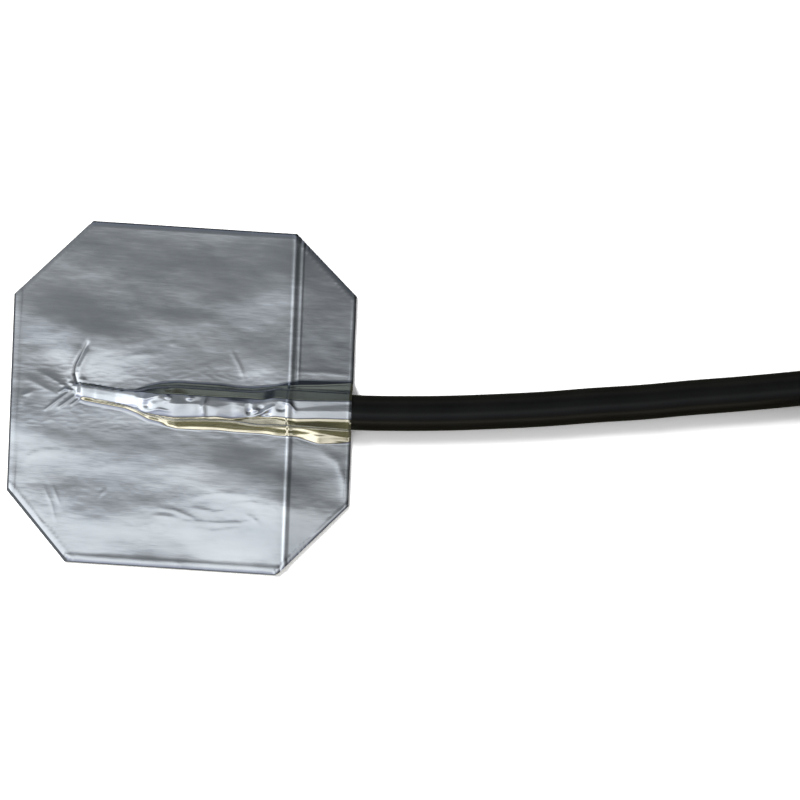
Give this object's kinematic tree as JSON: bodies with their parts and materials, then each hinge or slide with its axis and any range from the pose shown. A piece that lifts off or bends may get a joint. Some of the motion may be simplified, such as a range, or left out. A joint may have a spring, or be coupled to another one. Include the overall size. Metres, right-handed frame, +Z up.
{
  "type": "surface temperature sensor",
  "caption": "Self-adhesive foil temperature sensor: an eight-sided foil patch draped over a film element, with a round jacketed cable leaving one edge.",
  "frame": {"origin": "middle of the patch's underside, where it meets the surface", "axes": "+X along the patch to where the cable leaves, +Y across it, +Z up, away from the surface"},
  "size_m": [0.1922, 0.0791, 0.0179],
  "materials": {
    "liner": "smooth siliconised kraft",
    "adhesive": "clear tacky film",
    "foil": "bright rolled foil",
    "alumina": "fired alumina",
    "platinum": "thin metal film",
    "glaze": "fired glass",
    "lead_wire": "drawn wire",
    "lead_sleeve": "extruded",
    "crimp_brass": "tinned",
    "shrink": "shrunk tube",
    "jacket": "soft satin",
    "tie": "moulded",
    "core_red": "extruded",
    "core_white": "extruded",
    "copper": "drawn strands",
    "ferrule_metal": "tinned",
    "collar": "moulded"
  },
  "bodies": {
    "root": {"liner_main": "liner", "liner_strip": "liner", "contact_film": "adhesive", "bond_film": "adhesive", "base_foil": "foil", "cover_foil": "foil", "chip_substrate": "alumina", "chip_track": "platinum", "chip_glass": "glaze", "lead_glass": "glaze", "lead_left": "lead_wire", "lead_right": "lead_wire", "lead_sleeve_left": "lead_sleeve", "lead_sleeve_right": "lead_sleeve", "splice_left": "crimp_brass", "splice_right": "crimp_brass", "shrink_tube": "shrink", "cable": "jacket", "cable_coil": "jacket", "coil_tie": "tie", "core_1": "core_red", "conductor_1": "copper", "end_core_1": "core_red", "ferrule_1": "ferrule_metal", "ferrule_collar_1": "collar", "core_2": "core_red", "conductor_2": "copper", "end_core_2": "core_red", "ferrule_2": "ferrule_metal", "ferrule_collar_2": "collar", "core_3": "core_white", "conductor_3": "copper", "end_core_3": "core_white", "ferrule_3": "ferrule_metal", "ferrule_collar_3": "collar", "core_4": "core_white", "conductor_4": "copper", "end_core_4": "core_white", "ferrule_4": "ferrule_metal", "ferrule_collar_4": "collar"}
  },
  "joints": []
}
